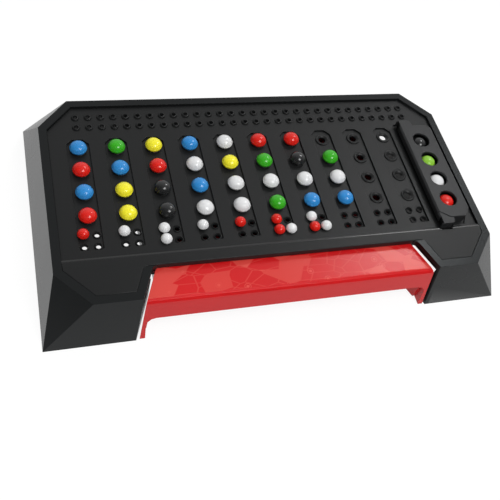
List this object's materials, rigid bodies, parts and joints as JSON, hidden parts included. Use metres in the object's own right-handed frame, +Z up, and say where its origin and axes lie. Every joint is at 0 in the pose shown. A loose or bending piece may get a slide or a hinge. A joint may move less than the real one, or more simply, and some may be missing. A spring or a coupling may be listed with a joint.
{
  "type": "code breaking peg game",
  "caption": "Flared game console with a holed deck of domed code and key pegs, a hinged cover with round windows over the secret code, and a peg drawer with a finger arch.",
  "frame": {"origin": "middle of the console's footprint, on the table", "axes": "+X to the right along the row of guess columns, towards the code cover; +Y away from the drawer, towards the storage holes; +Z up"},
  "size_m": [0.2538, 0.141, 0.0347],
  "materials": {
    "casing": "satin black moulding",
    "deck": "satin black moulding",
    "cover": "satin black moulding",
    "drawer": "glossy red moulding",
    "pin": "plain wire",
    "peg_blue": "glossy moulding",
    "peg_red": "glossy moulding",
    "peg_green": "glossy moulding",
    "peg_yellow": "glossy moulding",
    "peg_black": "glossy moulding",
    "peg_white": "glossy moulding",
    "peg_lime": "glossy moulding"
  },
  "bodies": {
    "console": {"console_casing": "casing", "peg_deck": "deck", "guide_rail_left": "casing", "guide_rail_right": "casing", "hinge_pin": "pin"},
    "drawer": {"drawer_front": "drawer", "drawer_tray": "drawer"},
    "cover": {"code_cover": "cover"},
    "code_peg_c1_r1": {"code_peg_c1_r1": "peg_blue"},
    "key_peg_c1_back_left": {"key_peg_c1_back_left": "peg_red"},
    "secret_peg_r1": {"secret_peg_r1": "peg_black"},
    "code_peg_c1_r2": {"code_peg_c1_r2": "peg_red"},
    "code_peg_c1_r3": {"code_peg_c1_r3": "peg_blue"},
    "code_peg_c1_r4": {"code_peg_c1_r4": "peg_red"},
    "code_peg_c2_r1": {"code_peg_c2_r1": "peg_green"},
    "code_peg_c2_r2": {"code_peg_c2_r2": "peg_blue"},
    "code_peg_c2_r3": {"code_peg_c2_r3": "peg_yellow"},
    "code_peg_c2_r4": {"code_peg_c2_r4": "peg_yellow"},
    "code_peg_c3_r1": {"code_peg_c3_r1": "peg_yellow"},
    "code_peg_c3_r2": {"code_peg_c3_r2": "peg_red"},
    "code_peg_c3_r3": {"code_peg_c3_r3": "peg_black"},
    "code_peg_c3_r4": {"code_peg_c3_r4": "peg_black"},
    "code_peg_c4_r1": {"code_peg_c4_r1": "peg_blue"},
    "code_peg_c4_r2": {"code_peg_c4_r2": "peg_white"},
    "code_peg_c4_r3": {"code_peg_c4_r3": "peg_blue"},
    "code_peg_c4_r4": {"code_peg_c4_r4": "peg_white"},
    "code_peg_c5_r1": {"code_peg_c5_r1": "peg_white"},
    "code_peg_c5_r2": {"code_peg_c5_r2": "peg_yellow"},
    "code_peg_c5_r3": {"code_peg_c5_r3": "peg_white"},
    "code_peg_c5_r4": {"code_peg_c5_r4": "peg_white"},
    "code_peg_c6_r1": {"code_peg_c6_r1": "peg_red"},
    "code_peg_c6_r2": {"code_peg_c6_r2": "peg_green"},
    "code_peg_c6_r3": {"code_peg_c6_r3": "peg_white"},
    "code_peg_c6_r4": {"code_peg_c6_r4": "peg_green"},
    "code_peg_c7_r1": {"code_peg_c7_r1": "peg_red"},
    "code_peg_c7_r2": {"code_peg_c7_r2": "peg_black"},
    "code_peg_c7_r3": {"code_peg_c7_r3": "peg_white"},
    "code_peg_c7_r4": {"code_peg_c7_r4": "peg_blue"},
    "code_peg_c8_r2": {"code_peg_c8_r2": "peg_green"},
    "code_peg_c8_r3": {"code_peg_c8_r3": "peg_white"},
    "code_peg_c8_r4": {"code_peg_c8_r4": "peg_blue"},
    "key_peg_c2_back_left": {"key_peg_c2_back_left": "peg_white"},
    "key_peg_c3_back_left": {"key_peg_c3_back_left": "peg_white"},
    "key_peg_c3_front_left": {"key_peg_c3_front_left": "peg_white"},
    "key_peg_c4_back_left": {"key_peg_c4_back_left": "peg_white"},
    "key_peg_c5_back_left": {"key_peg_c5_back_left": "peg_red"},
    "key_peg_c6_back_left": {"key_peg_c6_back_left": "peg_red"},
    "key_peg_c6_front_right": {"key_peg_c6_front_right": "peg_white"},
    "key_peg_c6_front_left": {"key_peg_c6_front_left": "peg_red"},
    "key_peg_c7_back_left": {"key_peg_c7_back_left": "peg_white"},
    "key_peg_c7_front_right": {"key_peg_c7_front_right": "peg_white"},
    "key_peg_c7_front_left": {"key_peg_c7_front_left": "peg_red"},
    "secret_peg_r2": {"secret_peg_r2": "peg_lime"},
    "secret_peg_r3": {"secret_peg_r3": "peg_white"},
    "secret_peg_r4": {"secret_peg_r4": "peg_red"}
  },
  "joints": [
    {"name": "drawer_slide", "type": "slide", "parent": "console", "child": "drawer", "axis": [0, -1, 0], "range_m": [0, 0.08]},
    {"name": "cover_hinge", "type": "hinge", "parent": "console", "child": "cover", "pos_m": [0.09305, 0, 0.0323], "axis": [0, -1, 0], "range_deg": [0, 100]},
    {"name": "code_peg_c1_r1_lift", "type": "slide", "parent": "console", "child": "code_peg_c1_r1", "axis": [0, 0, 1], "range_m": [0, 0.012]},
    {"name": "key_peg_c1_back_left_lift", "type": "slide", "parent": "console", "child": "key_peg_c1_back_left", "axis": [0, 0, 1], "range_m": [0, 0.0095]},
    {"name": "secret_peg_r1_lift", "type": "slide", "parent": "console", "child": "secret_peg_r1", "axis": [0, 0, 1], "range_m": [0, 0.012]},
    {"name": "code_peg_c1_r2_lift", "type": "slide", "parent": "console", "child": "code_peg_c1_r2", "axis": [0, 0, 1], "range_m": [0, 0.012]},
    {"name": "code_peg_c1_r3_lift", "type": "slide", "parent": "console", "child": "code_peg_c1_r3", "axis": [0, 0, 1], "range_m": [0, 0.012]},
    {"name": "code_peg_c1_r4_lift", "type": "slide", "parent": "console", "child": "code_peg_c1_r4", "axis": [0, 0, 1], "range_m": [0, 0.012]},
    {"name": "code_peg_c2_r1_lift", "type": "slide", "parent": "console", "child": "code_peg_c2_r1", "axis": [0, 0, 1], "range_m": [0, 0.012]},
    {"name": "code_peg_c2_r2_lift", "type": "slide", "parent": "console", "child": "code_peg_c2_r2", "axis": [0, 0, 1], "range_m": [0, 0.012]},
    {"name": "code_peg_c2_r3_lift", "type": "slide", "parent": "console", "child": "code_peg_c2_r3", "axis": [0, 0, 1], "range_m": [0, 0.012]},
    {"name": "code_peg_c2_r4_lift", "type": "slide", "parent": "console", "child": "code_peg_c2_r4", "axis": [0, 0, 1], "range_m": [0, 0.012]},
    {"name": "code_peg_c3_r1_lift", "type": "slide", "parent": "console", "child": "code_peg_c3_r1", "axis": [0, 0, 1], "range_m": [0, 0.012]},
    {"name": "code_peg_c3_r2_lift", "type": "slide", "parent": "console", "child": "code_peg_c3_r2", "axis": [0, 0, 1], "range_m": [0, 0.012]},
    {"name": "code_peg_c3_r3_lift", "type": "slide", "parent": "console", "child": "code_peg_c3_r3", "axis": [0, 0, 1], "range_m": [0, 0.012]},
    {"name": "code_peg_c3_r4_lift", "type": "slide", "parent": "console", "child": "code_peg_c3_r4", "axis": [0, 0, 1], "range_m": [0, 0.012]},
    {"name": "code_peg_c4_r1_lift", "type": "slide", "parent": "console", "child": "code_peg_c4_r1", "axis": [0, 0, 1], "range_m": [0, 0.012]},
    {"name": "code_peg_c4_r2_lift", "type": "slide", "parent": "console", "child": "code_peg_c4_r2", "axis": [0, 0, 1], "range_m": [0, 0.012]},
    {"name": "code_peg_c4_r3_lift", "type": "slide", "parent": "console", "child": "code_peg_c4_r3", "axis": [0, 0, 1], "range_m": [0, 0.012]},
    {"name": "code_peg_c4_r4_lift", "type": "slide", "parent": "console", "child": "code_peg_c4_r4", "axis": [0, 0, 1], "range_m": [0, 0.012]},
    {"name": "code_peg_c5_r1_lift", "type": "slide", "parent": "console", "child": "code_peg_c5_r1", "axis": [0, 0, 1], "range_m": [0, 0.012]},
    {"name": "code_peg_c5_r2_lift", "type": "slide", "parent": "console", "child": "code_peg_c5_r2", "axis": [0, 0, 1], "range_m": [0, 0.012]},
    {"name": "code_peg_c5_r3_lift", "type": "slide", "parent": "console", "child": "code_peg_c5_r3", "axis": [0, 0, 1], "range_m": [0, 0.012]},
    {"name": "code_peg_c5_r4_lift", "type": "slide", "parent": "console", "child": "code_peg_c5_r4", "axis": [0, 0, 1], "range_m": [0, 0.012]},
    {"name": "code_peg_c6_r1_lift", "type": "slide", "parent": "console", "child": "code_peg_c6_r1", "axis": [0, 0, 1], "range_m": [0, 0.012]},
    {"name": "code_peg_c6_r2_lift", "type": "slide", "parent": "console", "child": "code_peg_c6_r2", "axis": [0, 0, 1], "range_m": [0, 0.012]},
    {"name": "code_peg_c6_r3_lift", "type": "slide", "parent": "console", "child": "code_peg_c6_r3", "axis": [0, 0, 1], "range_m": [0, 0.012]},
    {"name": "code_peg_c6_r4_lift", "type": "slide", "parent": "console", "child": "code_peg_c6_r4", "axis": [0, 0, 1], "range_m": [0, 0.012]},
    {"name": "code_peg_c7_r1_lift", "type": "slide", "parent": "console", "child": "code_peg_c7_r1", "axis": [0, 0, 1], "range_m": [0, 0.012]},
    {"name": "code_peg_c7_r2_lift", "type": "slide", "parent": "console", "child": "code_peg_c7_r2", "axis": [0, 0, 1], "range_m": [0, 0.012]},
    {"name": "code_peg_c7_r3_lift", "type": "slide", "parent": "console", "child": "code_peg_c7_r3", "axis": [0, 0, 1], "range_m": [0, 0.012]},
    {"name": "code_peg_c7_r4_lift", "type": "slide", "parent": "console", "child": "code_peg_c7_r4", "axis": [0, 0, 1], "range_m": [0, 0.012]},
    {"name": "code_peg_c8_r2_lift", "type": "slide", "parent": "console", "child": "code_peg_c8_r2", "axis": [0, 0, 1], "range_m": [0, 0.012]},
    {"name": "code_peg_c8_r3_lift", "type": "slide", "parent": "console", "child": "code_peg_c8_r3", "axis": [0, 0, 1], "range_m": [0, 0.012]},
    {"name": "code_peg_c8_r4_lift", "type": "slide", "parent": "console", "child": "code_peg_c8_r4", "axis": [0, 0, 1], "range_m": [0, 0.012]},
    {"name": "key_peg_c2_back_left_lift", "type": "slide", "parent": "console", "child": "key_peg_c2_back_left", "axis": [0, 0, 1], "range_m": [0, 0.0095]},
    {"name": "key_peg_c3_back_left_lift", "type": "slide", "parent": "console", "child": "key_peg_c3_back_left", "axis": [0, 0, 1], "range_m": [0, 0.0095]},
    {"name": "key_peg_c3_front_left_lift", "type": "slide", "parent": "console", "child": "key_peg_c3_front_left", "axis": [0, 0, 1], "range_m": [0, 0.0095]},
    {"name": "key_peg_c4_back_left_lift", "type": "slide", "parent": "console", "child": "key_peg_c4_back_left", "axis": [0, 0, 1], "range_m": [0, 0.0095]},
    {"name": "key_peg_c5_back_left_lift", "type": "slide", "parent": "console", "child": "key_peg_c5_back_left", "axis": [0, 0, 1], "range_m": [0, 0.0095]},
    {"name": "key_peg_c6_back_left_lift", "type": "slide", "parent": "console", "child": "key_peg_c6_back_left", "axis": [0, 0, 1], "range_m": [0, 0.0095]},
    {"name": "key_peg_c6_front_right_lift", "type": "slide", "parent": "console", "child": "key_peg_c6_front_right", "axis": [0, 0, 1], "range_m": [0, 0.0095]},
    {"name": "key_peg_c6_front_left_lift", "type": "slide", "parent": "console", "child": "key_peg_c6_front_left", "axis": [0, 0, 1], "range_m": [0, 0.0095]},
    {"name": "key_peg_c7_back_left_lift", "type": "slide", "parent": "console", "child": "key_peg_c7_back_left", "axis": [0, 0, 1], "range_m": [0, 0.0095]},
    {"name": "key_peg_c7_front_right_lift", "type": "slide", "parent": "console", "child": "key_peg_c7_front_right", "axis": [0, 0, 1], "range_m": [0, 0.0095]},
    {"name": "key_peg_c7_front_left_lift", "type": "slide", "parent": "console", "child": "key_peg_c7_front_left", "axis": [0, 0, 1], "range_m": [0, 0.0095]},
    {"name": "secret_peg_r2_lift", "type": "slide", "parent": "console", "child": "secret_peg_r2", "axis": [0, 0, 1], "range_m": [0, 0.012]},
    {"name": "secret_peg_r3_lift", "type": "slide", "parent": "console", "child": "secret_peg_r3", "axis": [0, 0, 1], "range_m": [0, 0.012]},
    {"name": "secret_peg_r4_lift", "type": "slide", "parent": "console", "child": "secret_peg_r4", "axis": [0, 0, 1], "range_m": [0, 0.012]}
  ]
}
